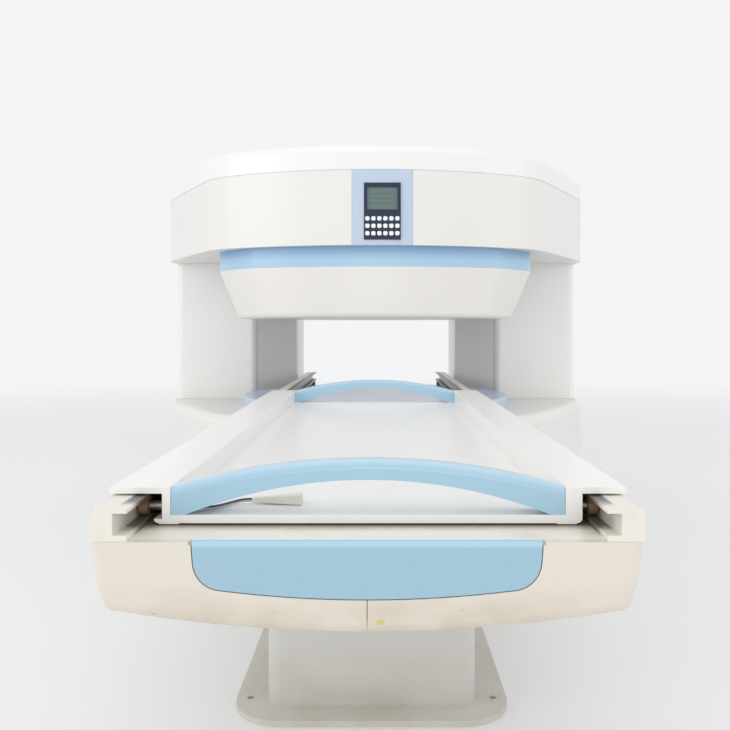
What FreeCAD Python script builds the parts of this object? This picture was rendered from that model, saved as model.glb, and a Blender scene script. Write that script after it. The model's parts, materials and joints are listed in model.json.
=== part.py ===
import FreeCAD, Part
import math
import os

# Open magnet scanner with its patient table, in millimetres.
# Origin on the floor under the pole axis, +Z up, +X right seen from the patient end, front towards -Y.

Vector = FreeCAD.Vector

# ---- heights of the gantry, from the floor up ----
foot_height = 80.0
cover_foot = 12.0            # gap under the covers
lower_belt_top = 548.0
lower_disc_rise = 54.0
patient_gap = 386.0
skirt_height = 223.0
band_height = 89.0
upper_belt_height = 322.0
cap_height = 117.0
cap_seam = 3.0

lower_disc_top = lower_belt_top + lower_disc_rise
skirt_bottom = lower_disc_top + patient_gap
skirt_top = skirt_bottom + skirt_height
upper_belt_bottom = skirt_top + band_height
upper_belt_top = upper_belt_bottom + upper_belt_height
machine_top = upper_belt_top + cap_height

# ---- plan of the belts ----
half_width = 1115.0
front_reach = 740.0          # pole axis to the middle of the bowed front
rear_reach = 1020.0
bow_radius = 1400.0
bow_end_angle = 27.7         # slope where the bowed front ends
flank_angle = 60.5           # slope of the straight flank behind the corner
corner_x = 742.0
corner_radius = 350.0
shoulder_radius = 270.0
rear_corner_radius = 150.0
cover_wall = 8.0
cover_gap = 2.0
cap_edge_radius = 46.0
lower_edge_radius = 45.0

# ---- columns and the passage between them ----
passage_half = 470.0
column_front = 285.0
column_arc = 740.0           # concave wall, measured from the pole axis
column_edge_radius = 30.0
column_outer_radius = 40.0
column_seam_inset = 16.0     # the seam lies this far inside the column's front edge
cover_split = 562.0          # front covers end here and the rear covers start

# ---- magnet ----
yoke_inset = 70.0
yoke_thickness = 220.0
yoke_cover_space = 20.0
foot_edge_inset = 190.0      # the outer feet stand this far inside the yoke's edge
foot_rear_inset = 120.0
foot_front_x = 450.0
foot_front_y = -420.0
foot_middle_share = 0.4      # the middle pair stands this far towards the rear pair
foot_pad_radius = 70.0
foot_pad_thickness = 16.0
foot_pad_rounding = 3.0
foot_stud_radius = 26.0
foot_nut_radius = 44.0
foot_nut_height = 24.0
post_width = 480.0
post_depth = 380.0
post_outer_x = 1040.0
post_front = 560.0
magnet_radius = 600.0
pole_radius = 620.0
coil_radius = 560.0
coil_thickness = 40.0
pole_thickness = 65.0
coil_cover_space = 9.0
pole_space = 12.0            # round a pole where it passes a cover
post_space = 0.3             # the covers are carried where they fit round the posts

# ---- pole covers ----
disc_radius = 680.0
disc_edge_radius = 10.0
pole_cover_front = 700.0
pole_cover_half = 745.0
pole_cover_front_slope = 19.0
pole_cover_nose_x = 560.0
pole_cover_flank_y = -400.0
pole_cover_nose_radius = 220.0
pole_cover_flank_radius = 200.0
pole_cover_rear_radius = 690.0
pole_cover_side_radius = 700.0
skirt_taper = 96.0           # the skirt is this much narrower each side at its bottom
skirt_front_taper = 12.0
skirt_rear_taper = 70.0
skirt_edge_radius = 22.0

# ---- control panel ----
panel_x = 33.0
panel_width = 261.0
panel_gap = 0.8
panel_seat = 0.3             # behind the front cover's wall
panel_lap = 10.0
panel_backing = 10.0
bezel_width = 157.0
bezel_rise = 22.5            # above the belt's bottom edge
bezel_height = 243.5
bezel_thickness = 12.0
bezel_proud = 4.0
bezel_clearance = 0.3
bezel_ledge = 3.0
lcd_width = 131.0
lcd_height = 95.5
lcd_rise = 128.5             # above the bezel's bottom
lcd_lap = 4.0
lcd_recess = 4.0
lcd_clearance = 0.2
key_size = 18.4
key_corner_radius = 6.2
key_face_radius = 1.2
key_clearance = 0.4
key_pitch_x = 25.6
key_pitch_z = 31.7
key_row_rise = 26.5          # bottom row above the bezel's bottom
key_columns = 6
key_rows = 3
key_proud = 2.5
key_flange = 1.3
key_flange_thickness = 2.5

bezel_bottom = upper_belt_bottom + bezel_rise
lcd_bottom = bezel_bottom + lcd_rise
key_bottom_row = bezel_bottom + key_row_rise

# ---- patient table ----
deck_top = 621.0
deck_thickness = 12.0
table_front = 2890.0         # pole axis to the flat front of the nose
table_rear = 760.0
table_wall = 6.0
keel_z = 479.0               # lowest line of the table's section
keel_radius = 2364.0
keel_slope = 9.0             # where the keel's arc ends
side_radius = 270.0
side_slope = 19.3            # from upright, where the side's arc ends
section_corner_inset = 21.0
section_corner_radius = 21.0
nose_depth = 290.0
nose_front_wall = 14.0
nose_edge_radius = 18.0
nose_seam = 1.2
inset_half = 268.5
inset_corner_x = 263.0
inset_corner_radius = 44.0
inset_keel_z = 533.5
inset_keel_radius = 1800.0
inset_keel_slope = 7.0
inset_top_radius = 10.0
inset_gap = 1.6
inset_notch = 5.0

pedestal_half = 260.0
pedestal_front = 2150.0
pedestal_rear = 1150.0
pedestal_wall = 10.0
pedestal_radius = 40.0
pedestal_space = 5.0
base_margin = 80.0
base_thickness = 14.0
anchor_radius = 9.0
anchor_margin = 35.0

# ---- rails ----
rail_space = 11.5            # beside the tray
rail_groove = 22.0           # depth of the groove that the rollers run in
rail_web_thickness = 36.0
rail_bottom_flange = 10.0
rail_cavity = 33.0
rail_top_flange = 6.0
rail_edge_radius = 2.5
rail_rear = 720.0
bracket_length = 40.0
bracket_front_y = -600.0
bracket_rear_y = 640.0

rail_top = deck_top + rail_bottom_flange + rail_cavity + rail_top_flange

# ---- tabletop ----
top_front = 2788.0
top_length = 1968.0
flange_overhang = 4.0        # past the rails' outer sides
tray_half = 327.5
web_thickness = 28.0
flange_clearance = 3.0       # under the flanges, over the rails
flange_thickness = 11.0
floor_thickness = 14.0
floor_clearance = 3.0        # under the tray, over the deck
pad_width = 33.0
pad_height = 1.5
tray_corner_radius = 9.0
flange_tip_radius = 3.0
tray_lip_radius = 2.0
pocket_depth = 14.0
pocket_length = 62.0

flange_bottom = rail_top + flange_clearance
flange_top = flange_bottom + flange_thickness
floor_bottom = deck_top + floor_clearance
floor_top = floor_bottom + floor_thickness
web_outer = tray_half + web_thickness
rail_inner = web_outer + rail_space
rail_web = rail_inner + rail_groove
table_half = rail_web + rail_web_thickness
top_half = table_half + flange_overhang

# ---- rollers ----
roller_clearance = 0.3
roller_width = 16.0
roller_edge_radius = 1.2
roller_side_gap = 3.0        # from the rail's open side
roller_inset = 30.0          # from each end of the tabletop
axle_radius = 5.0
axle_fit = 0.05
axle_collar_radius = 8.0
axle_cap = 1.5
axle_side_gap = 0.4
axle_depth = 12.0            # how far an axle sits in the web

roller_radius = rail_cavity / 2.0 - roller_clearance
roller_z = deck_top + rail_bottom_flange + rail_cavity / 2.0
roller_inner_x = rail_inner + roller_side_gap

# ---- handles at both ends of the tray ----
handle_depth = 45.0
handle_crown = 45.0          # crown above the flanges
handle_opening = 58.0        # clear height under the crown
handle_outer_radius = 1210.0
handle_inner_radius = 821.0
handle_gap = 0.5
handle_edge_radius = 15.0

# ---- lead and plug, lying on the tray floor ----
lead_radius = 3.4
lead_hole_clearance = 0.8
lead_route = [
    (-312.0, -2775.0, 3.6),
    (-298.0, -2769.0, 3.6),
    (-279.0, -2756.0, 3.6),
    (-258.0, -2744.0, 3.6),
    (-245.0, -2727.0, 4.0),
    (-232.0, -2712.0, 5.0),
    (-218.0, -2706.0, 7.0),
    (-205.0, -2706.0, 7.0),
]                            # the last number is the height above the tray floor
plug_length = 88.0
plug_width = 30.0
plug_height = 17.0
plug_neck = 9.0              # height and width where the lead enters
plug_edge_radius = 2.5
plug_clearance = 0.1         # over the tray floor

far = 6000.0                 # half the size of a cutting block


# ---- helpers ----

def plan(x, y):
    return Vector(x, y, 0)


def front_view(x, z):
    return Vector(x, 0, z)


def rounded_wire(corners, place):
    # corners are (u, v, radius); the closed outline runs through them with round corners
    starts = []
    ends = []
    middles = []
    count = len(corners)
    for number, (u, v, radius) in enumerate(corners):
        here = Vector(u, v, 0)
        before = Vector(corners[number - 1][0], corners[number - 1][1], 0) - here
        after = Vector(corners[(number + 1) % count][0], corners[(number + 1) % count][1], 0) - here
        before.normalize()
        after.normalize()
        half = before.getAngle(after) / 2.0
        reach = radius / math.tan(half)
        inward = before + after
        if radius > 0:
            inward.normalize()
        starts.append(here + before * reach)
        ends.append(here + after * reach)
        middles.append(here + inward * (radius / math.sin(half) - radius))
    edges = []
    for number in range(count):
        following = (number + 1) % count
        if corners[number][2] > 0:
            points = [place(p.x, p.y) for p in (starts[number], middles[number], ends[number])]
            edges.append(Part.Arc(*points).toShape())
        if (starts[following] - ends[number]).Length > 0.001:
            first = place(ends[number].x, ends[number].y)
            last = place(starts[following].x, starts[following].y)
            edges.append(Part.LineSegment(first, last).toShape())
    return Part.Wire(edges)


def mirrored_corners(right_side):
    # a closed outline from its right half, given from the front or bottom round to the rear or top
    left_side = [(-x, y, radius) for x, y, radius in reversed(right_side) if x > 0]
    return right_side + left_side


def raised(face, bottom, top):
    shape = face.copy()
    shape.translate(Vector(0, 0, bottom))
    return shape.extrude(Vector(0, 0, top - bottom))


def deepened(face, front, rear):
    shape = face.copy()
    shape.translate(Vector(0, front, 0))
    return shape.extrude(Vector(0, rear - front, 0))


def block(x_low, x_high, y_low, y_high, z_low, z_high):
    return Part.makeBox(x_high - x_low, y_high - y_low, z_high - z_low, Vector(x_low, y_low, z_low))


def disc(radius, bottom, top, x=0.0, y=0.0):
    return Part.makeCylinder(radius, top - bottom, Vector(x, y, bottom))


def level_edges(shape, height):
    found = []
    for edge in shape.Edges:
        box = edge.BoundBox
        if abs(box.ZMin - height) < 0.01 and abs(box.ZMax - height) < 0.01:
            found.append(edge)
    return found


def upright_edges(shape, places):
    found = []
    for edge in shape.Edges:
        box = edge.BoundBox
        thin = box.XLength < 0.01 and box.YLength < 0.01
        if thin and any(abs(box.XMin - x) < 0.5 and abs(box.YMin - y) < 0.5 for x, y in places):
            found.append(edge)
    return found


def mirror_left(shape):
    return shape.mirror(Vector(0, 0, 0), Vector(1, 0, 0))


def joined(shapes):
    whole = shapes[0]
    if len(shapes) > 1:
        whole = whole.multiFuse(shapes[1:])
    return whole.removeSplitter()


# ---- plan outlines ----

def belt_face(inset=0.0):
    slope = math.radians(bow_end_angle)
    tip_y = -front_reach - bow_radius * (1.0 / math.cos(slope) - 1.0)
    corner_y = tip_y + corner_x * math.tan(slope)
    shoulder_y = corner_y + (half_width - corner_x) * math.tan(math.radians(flank_angle))
    right_side = [
        (0.0, tip_y, bow_radius),
        (corner_x, corner_y, corner_radius),
        (half_width, shoulder_y, shoulder_radius),
        (half_width, rear_reach, rear_corner_radius),
    ]
    face = Part.Face(rounded_wire(mirrored_corners(right_side), plan))
    if inset > 0:
        return face.makeOffset2D(-inset)
    return face


def pole_cover_wire(narrower=0.0, front_back=0.0, rear_back=0.0, inset=0.0):
    # bowed front, straight flanks and a rear that turns into a circle about the pole axis
    slope = math.radians(pole_cover_front_slope)
    half = pole_cover_half - narrower
    rear = pole_cover_rear_radius - rear_back
    tip_y = front_back - pole_cover_front - bow_radius * (1.0 / math.cos(slope) - 1.0)
    nose_x = pole_cover_nose_x - narrower / 2.0
    nose_y = tip_y + nose_x * math.tan(slope)
    right_side = [
        (0.0, tip_y, bow_radius),
        (nose_x, nose_y, pole_cover_nose_radius - narrower / 2.0),
        (half, pole_cover_flank_y, pole_cover_flank_radius),
        (half, rear * math.sqrt(2.0) - half, pole_cover_side_radius * half / pole_cover_half),
        (rear * (math.sqrt(2.0) - 1.0), rear, rear),
    ]
    wire = rounded_wire(mirrored_corners(right_side), plan)
    if inset > 0:
        return Part.Face(wire).makeOffset2D(-inset).OuterWire
    return wire


# ---- magnet ----

def make_lower_yoke():
    return raised(belt_face(yoke_inset), foot_height, foot_height + yoke_thickness)


def upper_yoke_bottom():
    return upper_belt_bottom + yoke_cover_space


def make_upper_yoke():
    bottom = upper_yoke_bottom()
    return raised(belt_face(yoke_inset), bottom, bottom + yoke_thickness)


def make_right_post():
    inner_x = post_outer_x - post_width
    rear = post_front + post_depth
    bottom = foot_height + yoke_thickness
    return block(inner_x, post_outer_x, post_front, rear, bottom, upper_yoke_bottom())


def lower_coil_top():
    return lower_disc_top - cover_wall - coil_cover_space


def make_lower_gradient_coil():
    return disc(coil_radius, lower_coil_top() - coil_thickness, lower_coil_top())


def make_lower_pole_piece():
    top = lower_coil_top() - coil_thickness
    return disc(pole_radius, top - pole_thickness, top)


def make_lower_magnet():
    top = lower_coil_top() - coil_thickness - pole_thickness
    return disc(magnet_radius, foot_height + yoke_thickness, top)


def upper_coil_bottom():
    return skirt_bottom + cover_wall + coil_cover_space


def make_upper_gradient_coil():
    return disc(coil_radius, upper_coil_bottom(), upper_coil_bottom() + coil_thickness)


def make_upper_pole_piece():
    bottom = upper_coil_bottom() + coil_thickness
    return disc(pole_radius, bottom, bottom + pole_thickness)


def make_upper_magnet():
    bottom = upper_coil_bottom() + coil_thickness + pole_thickness
    return disc(magnet_radius, bottom, upper_yoke_bottom())


def make_levelling_feet():
    foot_x = half_width - yoke_inset - foot_edge_inset
    rear_y = rear_reach - yoke_inset - foot_rear_inset
    middle_y = rear_y * foot_middle_share
    nut_bottom = foot_height - foot_nut_height
    places = [(0.0, 0.0)]
    for x, y in ((foot_front_x, foot_front_y), (foot_x, middle_y), (foot_x, rear_y)):
        places.append((-x, y))
        places.append((x, y))
    feet = []
    for x, y in places:
        pad = disc(foot_pad_radius, 0.0, foot_pad_thickness, x, y)
        pad = pad.makeFillet(foot_pad_rounding, level_edges(pad, foot_pad_thickness))
        stud = disc(foot_stud_radius, foot_pad_thickness, nut_bottom, x, y)
        nut = disc(foot_nut_radius, nut_bottom, foot_height, x, y)
        feet.append(joined([pad, stud, nut]))
    return Part.makeCompound(feet)


# ---- gantry covers ----

def rounded_block(inset, bottom, top, radius):
    solid = raised(belt_face(inset), bottom, top)
    return solid.makeFillet(radius, level_edges(solid, top))


def make_top_cap():
    outer = rounded_block(0.0, upper_belt_top, machine_top, cap_edge_radius)
    inner_radius = cap_edge_radius - cover_wall
    inner = rounded_block(cover_wall, upper_belt_top - 1.0, machine_top - cover_wall, inner_radius)
    rebate = raised(belt_face(), upper_belt_top, upper_belt_top + cap_seam)
    rebate = rebate.cut(raised(belt_face(cover_wall / 2.0), upper_belt_top, upper_belt_top + cap_seam))
    return outer.cut(inner).cut(rebate)


def post_openings(bottom, top):
    room = post_space
    inner_x = post_outer_x - post_width - room
    rear = post_front + post_depth + room
    right = block(inner_x, post_outer_x + room, post_front - room, rear, bottom, top)
    return [right, mirror_left(right)]


def belt_plate(bottom, top, opening_radius):
    # the flat that closes a belt towards the patient gap, kept inside the rear covers
    in_front = block(-far, far, -far, cover_split, bottom, top)
    front = raised(belt_face(cover_wall), bottom, top).common(in_front)
    inner = raised(belt_face(cover_wall + cover_gap), bottom, top)
    rear = inner.common(block(-far, far, cover_split - 1.0, far, bottom, top))
    plate = joined([front, rear])
    for opening in post_openings(bottom, top) + [disc(opening_radius, bottom, top)]:
        plate = plate.cut(opening)
    return plate


def panel_window(gap, depth):
    # the part of the belt's front wall that the control panel takes
    low = panel_x - panel_width / 2.0 - gap
    high = panel_x + panel_width / 2.0 + gap
    band = block(low, high, -far, 0.0, upper_belt_bottom, upper_belt_top)
    inner = raised(belt_face(depth), upper_belt_bottom, upper_belt_top)
    outer = raised(belt_face(), upper_belt_bottom, upper_belt_top)
    return outer.cut(inner).common(band)


def make_upper_front_cover():
    outer = raised(belt_face(), upper_belt_bottom, upper_belt_top)
    wall = outer.cut(raised(belt_face(cover_wall), upper_belt_bottom, upper_belt_top))
    wall = wall.common(block(-far, far, -far, cover_split, upper_belt_bottom, upper_belt_top))
    opening = magnet_radius + pole_space
    plate = belt_plate(upper_belt_bottom, upper_belt_bottom + cover_wall, opening)
    whole = joined([wall, plate])
    return whole.cut(panel_window(panel_gap, cover_wall + panel_seat + panel_gap))


def make_lower_front_cover():
    top = lower_belt_top
    under = top - cover_wall
    round_outer = rounded_block(0.0, cover_foot, top, lower_edge_radius)
    round_inner = rounded_block(cover_wall, cover_foot, under, lower_edge_radius - cover_wall)
    front = round_outer.cut(round_inner).common(block(-far, far, -far, column_front, 0.0, top))
    plain = raised(belt_face(), cover_foot, top).cut(raised(belt_face(cover_wall), cover_foot, under))
    back = plain.common(block(-far, far, column_front, cover_split, 0.0, top))
    inner = raised(belt_face(cover_wall + cover_gap), under, top)
    tail = inner.common(block(-far, far, cover_split - cover_gap, far, under, top))
    whole = joined([front, back, tail])
    for opening in post_openings(0.0, top) + [disc(pole_radius + pole_space, 0.0, top)]:
        whole = whole.cut(opening)
    return whole


def column_block():
    # the right column's outer shape between the belts
    bottom = lower_belt_top
    top = upper_belt_bottom
    region = block(passage_half, far, column_front, far, bottom, top)
    solid = raised(belt_face(), bottom, top).common(region)
    solid = solid.cut(disc(column_arc, bottom, top))
    turn_x = math.sqrt(column_arc ** 2 - column_front ** 2)
    passage_y = math.sqrt(column_arc ** 2 - passage_half ** 2)
    inner_places = [(turn_x, column_front), (passage_half, passage_y), (passage_half, rear_reach)]
    solid = solid.makeFillet(column_edge_radius, upright_edges(solid, inner_places))
    front_edges = [edge for edge in solid.Edges if edge.BoundBox.YMax < column_front + 0.01]
    uprights = [edge for edge in front_edges if edge.BoundBox.XLength < 0.01]
    outermost = max(uprights, key=lambda edge: edge.BoundBox.XMin)
    return solid.makeFillet(column_outer_radius, [outermost])


def column_ring():
    solid = column_block()
    floor = [face for face in solid.Faces if face.BoundBox.ZMax < lower_belt_top + 0.01][0]
    inside = floor.makeOffset2D(-cover_wall)
    return solid.cut(inside.extrude(Vector(0, 0, upper_belt_bottom - lower_belt_top)))


def column_seam_x():
    return math.sqrt(column_arc ** 2 - column_front ** 2) - column_seam_inset


def make_right_column_cover():
    front = block(column_seam_x() + cover_gap, far, 0.0, cover_split, 0.0, machine_top)
    return column_ring().common(front)


def make_right_rear_cover():
    front = block(column_seam_x(), far, 0.0, cover_split + cover_gap, 0.0, machine_top)
    middle = column_ring().cut(front)
    pieces = [middle]
    for bottom, top in ((cover_foot, lower_belt_top), (upper_belt_bottom, upper_belt_top)):
        walls = raised(belt_face(), bottom, top).cut(raised(belt_face(cover_wall), bottom, top))
        pieces.append(walls.common(block(cover_gap / 2.0, far, cover_split + cover_gap, far, bottom, top)))
    return joined(pieces)


def make_upper_pole_band():
    outer = Part.Face(pole_cover_wire())
    inner = Part.Face(pole_cover_wire(inset=cover_wall))
    return raised(outer, skirt_top, upper_belt_bottom).cut(raised(inner, skirt_top, upper_belt_bottom))


def skirt_solid(inset, bottom, top, radius):
    low = pole_cover_wire(skirt_taper, skirt_front_taper, skirt_rear_taper, inset)
    high = pole_cover_wire(inset=inset)
    low.translate(Vector(0, 0, bottom))
    high.translate(Vector(0, 0, top))
    solid = Part.makeLoft([low, high], True, True)
    return solid.makeFillet(radius, level_edges(solid, bottom))


def make_upper_pole_skirt():
    outer = skirt_solid(0.0, skirt_bottom, skirt_top, skirt_edge_radius)
    inner = skirt_solid(cover_wall, skirt_bottom + cover_wall, skirt_top, skirt_edge_radius - cover_wall)
    return outer.cut(inner)


def make_lower_pole_cover():
    outer = disc(disc_radius, lower_belt_top, lower_disc_top)
    outer = outer.makeFillet(disc_edge_radius, level_edges(outer, lower_disc_top))
    return outer.cut(disc(disc_radius - cover_wall, lower_belt_top, lower_disc_top - cover_wall))


# ---- control panel ----

def bezel_front_y():
    # the bezel stands proud of the bowed front at the panel's middle
    fall = panel_x ** 2 / (2.0 * bow_radius)
    return -front_reach + fall - bezel_proud


def bezel_block(grow, front, rear):
    half = bezel_width / 2.0 + grow
    top = bezel_bottom + bezel_height
    return block(panel_x - half, panel_x + half, front, rear, bezel_bottom - grow, top + grow)


def make_control_panel():
    strip = panel_window(0.0, cover_wall + panel_seat)
    low = panel_x - panel_width / 2.0 - panel_lap
    high = panel_x + panel_width / 2.0 + panel_lap
    bottom = upper_belt_bottom + cover_wall + panel_gap
    outer = raised(belt_face(cover_wall + panel_seat), bottom, upper_belt_top)
    inner = raised(belt_face(cover_wall + panel_backing), bottom, upper_belt_top)
    backing = outer.cut(inner).common(block(low, high, -far, 0.0, bottom, upper_belt_top))
    rear = bezel_front_y() + bezel_thickness
    panel = joined([strip, backing])
    panel = panel.cut(bezel_block(bezel_clearance, -far, rear))
    return panel.cut(bezel_block(-bezel_ledge, -far, 0.0))


def key_centre(row, column):
    x = panel_x + (column - (key_columns - 1) / 2.0) * key_pitch_x
    z = key_bottom_row + (key_rows - 1 - row) * key_pitch_z
    return x, z


def key_bar(x, z, grow, front, rear):
    half = key_size / 2.0 + grow
    radius = key_corner_radius + grow
    corners = [(x + u * half, z + v * half, radius) for u, v in ((-1, -1), (1, -1), (1, 1), (-1, 1))]
    return deepened(Part.Face(rounded_wire(corners, front_view)), front, rear)


def make_display_bezel():
    front = bezel_front_y()
    rear = front + bezel_thickness
    bezel = bezel_block(0.0, front, rear)
    window_half = lcd_width / 2.0
    lcd_top = lcd_bottom + lcd_height
    window = block(panel_x - window_half, panel_x + window_half, front, rear, lcd_bottom, lcd_top)
    bezel = bezel.cut(window).cut(lcd_block(lcd_clearance, front + lcd_recess, rear))
    for row in range(key_rows):
        for column in range(key_columns):
            x, z = key_centre(row, column)
            bezel = bezel.cut(key_bar(x, z, key_clearance, front, rear))
    return bezel


def lcd_block(grow, front, rear):
    half = lcd_width / 2.0 + lcd_lap + grow
    low = lcd_bottom - lcd_lap - grow
    high = lcd_bottom + lcd_height + lcd_lap + grow
    return block(panel_x - half, panel_x + half, front, rear, low, high)


def make_lcd_screen():
    front = bezel_front_y()
    return lcd_block(0.0, front + lcd_recess, front + bezel_thickness)


def make_key(row, column):
    x, z = key_centre(row, column)
    front = bezel_front_y()
    rear = front + bezel_thickness + key_clearance
    cap = key_bar(x, z, 0.0, front - key_proud, rear)
    face_edges = [edge for edge in cap.Edges if edge.BoundBox.YMax < front - key_proud + 0.01]
    cap = cap.makeFillet(key_face_radius, face_edges)
    flange = key_bar(x, z, key_flange, rear, rear + key_flange_thickness)
    return joined([cap, flange])


# ---- patient table ----

def keel_corner(lowest, radius, slope, corner_x, corner_radius):
    # an arched keel, straight from where its arc reaches the slope, up to its corner
    angle = math.radians(slope)
    tip_z = lowest - radius * (1.0 / math.cos(angle) - 1.0)
    return [
        (0.0, tip_z, radius),
        (corner_x, tip_z + corner_x * math.tan(angle), corner_radius),
    ]


def table_section(inset=0.0):
    corners = keel_corner(keel_z, keel_radius, keel_slope, table_half - section_corner_inset,
                          section_corner_radius)
    side_corner_z = corners[-1][1] + section_corner_inset / math.tan(math.radians(side_slope))
    side_room = deck_top - side_corner_z - table_wall / 4.0
    largest = side_room / math.tan(math.radians(side_slope) / 2.0)
    corners.append((table_half, side_corner_z, min(side_radius, largest)))
    corners.append((table_half, deck_top, 0.0))
    face = Part.Face(rounded_wire(mirrored_corners(corners), front_view))
    if inset > 0:
        return face.makeOffset2D(-inset)
    return face


def under_deck():
    return block(-far, far, -far, far, 0.0, deck_top - deck_thickness)


def nose_solid(inset, front):
    # front end of the table, rounded where its flat front meets the sides and the keel
    solid = deepened(table_section(inset), front, nose_depth - table_front)
    round_edges = []
    for edge in solid.Edges:
        box = edge.BoundBox
        top_edge = box.ZMin > deck_top - inset - 0.01
        if box.YMax < front + 0.01 and not top_edge:
            round_edges.append(edge)
    return solid.makeFillet(nose_edge_radius - inset, round_edges)


def nose_shell():
    # the thick front wall reaches up to the top of the deck, which starts behind it
    wall_rear = nose_front_wall - table_front
    outer = nose_solid(0.0, -table_front)
    shell = outer.cut(nose_solid(table_wall, wall_rear)).common(under_deck())
    front_wall = outer.common(block(-far, far, -table_front, wall_rear, 0.0, deck_top))
    return joined([shell, front_wall])


def inset_block(grow):
    corners = keel_corner(inset_keel_z - grow, inset_keel_radius, inset_keel_slope, inset_corner_x + grow,
                          inset_corner_radius + grow)
    corners.append((inset_half + grow, deck_top, 0.0))
    face = Part.Face(rounded_wire(mirrored_corners(corners), front_view))
    return deepened(face, -table_front, nose_front_wall - table_front)


def make_nose_inset():
    panel = inset_block(0.0)
    top_edge = [edge for edge in level_edges(panel, deck_top) if edge.BoundBox.YMax < 0.01 - table_front]
    return panel.makeFillet(inset_top_radius, top_edge)


def make_right_nose_cover():
    half = nose_shell().common(block(nose_seam / 2.0, far, -far, 0.0, 0.0, deck_top))
    wall_rear = nose_front_wall - table_front
    notch = block(0.0, inset_half + inset_notch, -far, wall_rear, deck_top - inset_notch, deck_top)
    return half.cut(inset_block(inset_gap)).cut(notch)


def pedestal_plan(grow):
    solid_plan = [
        (-pedestal_half - grow, -pedestal_front - grow, pedestal_radius + grow),
        (pedestal_half + grow, -pedestal_front - grow, pedestal_radius + grow),
        (pedestal_half + grow, -pedestal_rear + grow, pedestal_radius + grow),
        (-pedestal_half - grow, -pedestal_rear + grow, pedestal_radius + grow),
    ]
    return Part.Face(rounded_wire(solid_plan, plan))


def make_table_body():
    deck_front = nose_front_wall - table_front
    deck = block(-table_half, table_half, deck_front, -table_rear, deck_top - deck_thickness, deck_top)
    start = nose_depth - table_front
    outer = deepened(table_section(), start, -table_rear)
    inner = deepened(table_section(table_wall), start, -table_rear - table_wall)
    shell = outer.cut(inner).common(under_deck())
    body = joined([deck, shell])
    return body.cut(raised(pedestal_plan(pedestal_space), 0.0, deck_top - deck_thickness))


def make_table_pedestal():
    top = deck_top - deck_thickness
    column = raised(pedestal_plan(0.0), 0.0, top)
    column = column.cut(raised(pedestal_plan(-pedestal_wall), base_thickness, top - pedestal_wall))
    base = raised(pedestal_plan(base_margin), 0.0, base_thickness)
    whole = joined([base, column])
    for x in (-anchor_x(), anchor_x()):
        for y in anchor_rows():
            whole = whole.cut(disc(anchor_radius, 0.0, base_thickness, x, y))
    return whole


def anchor_x():
    return pedestal_half + base_margin - anchor_margin


def anchor_rows():
    inward = pedestal_radius + base_margin
    return (inward - base_margin - pedestal_front, base_margin - inward - pedestal_rear)


def make_right_rail():
    bar = block(rail_inner, table_half, -table_front, rail_rear, deck_top, rail_top)
    floor = deck_top + rail_bottom_flange
    cavity = block(rail_inner, rail_web, -table_front, rail_rear, floor, floor + rail_cavity)
    bar = bar.cut(cavity)
    outer_top = []
    for edge in level_edges(bar, rail_top):
        if abs(edge.BoundBox.XMin - table_half) < 0.01 and edge.BoundBox.XLength < 0.01:
            outer_top.append(edge)
    return bar.makeFillet(rail_edge_radius, outer_top)


def make_rail_brackets():
    brackets = []
    for side in (-1, 1):
        for y in (bracket_front_y, bracket_rear_y):
            low, high = sorted((side * rail_inner, side * table_half))
            start = y - bracket_length / 2.0
            brackets.append(block(low, high, start, start + bracket_length, lower_belt_top, deck_top))
    return Part.makeCompound(brackets)


# ---- tabletop ----

def roller_rows():
    return (roller_inset - top_front, top_length - top_front - roller_inset)


def axle_bar(side, radius, near, far_x, y):
    low, high = sorted((side * near, side * far_x))
    return Part.makeCylinder(radius, high - low, Vector(low, y, roller_z), Vector(1, 0, 0))


def make_tabletop():
    front = -top_front
    rear = top_length - top_front
    corners = [
        (web_outer, floor_bottom, tray_corner_radius),
        (web_outer, flange_bottom, 0.0),
        (top_half, flange_bottom, flange_tip_radius),
        (top_half, flange_top, flange_tip_radius),
        (tray_half, flange_top, tray_lip_radius),
        (tray_half, floor_top, 0.0),
    ]
    top = deepened(Part.Face(rounded_wire(mirrored_corners(corners), front_view)), front, rear)
    pieces = [top]
    for side in (-1, 1):
        pad_outer = web_outer - tray_corner_radius
        low, high = sorted((side * (pad_outer - pad_width), side * pad_outer))
        pieces.append(block(low, high, front, rear, floor_bottom - pad_height, floor_bottom))
    top = joined(pieces)
    pocket_x = web_outer - pocket_depth
    pocket_z = deck_top + rail_bottom_flange
    top = top.cut(block(-web_outer, -pocket_x, front, front + pocket_length, pocket_z, flange_bottom))
    for side in (-1, 1):
        for y in roller_rows():
            hole = axle_bar(side, axle_radius + axle_fit, pocket_x - axle_depth, web_outer, y)
            top = top.cut(hole)
    return top


def handle_front_profile():
    crown = flange_top + handle_crown
    under = floor_top + handle_opening
    half = tray_half - handle_gap
    outer_centre = crown - handle_outer_radius
    inner_centre = under - handle_inner_radius
    shoulder_z = outer_centre + math.sqrt(handle_outer_radius ** 2 - half ** 2)
    foot_x = math.sqrt(handle_inner_radius ** 2 - (floor_top - inner_centre) ** 2)
    left_shoulder = front_view(-half, shoulder_z)
    right_shoulder = front_view(half, shoulder_z)
    left_foot = front_view(-foot_x, floor_top)
    right_foot = front_view(foot_x, floor_top)
    left_corner = front_view(-half, floor_top)
    right_corner = front_view(half, floor_top)
    edges = [
        Part.Arc(left_shoulder, front_view(0, crown), right_shoulder).toShape(),
        Part.LineSegment(right_shoulder, right_corner).toShape(),
        Part.LineSegment(right_corner, right_foot).toShape(),
        Part.Arc(right_foot, front_view(0, under), left_foot).toShape(),
        Part.LineSegment(left_foot, left_corner).toShape(),
        Part.LineSegment(left_corner, left_shoulder).toShape(),
    ]
    return Part.Face(Part.Wire(edges))


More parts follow.
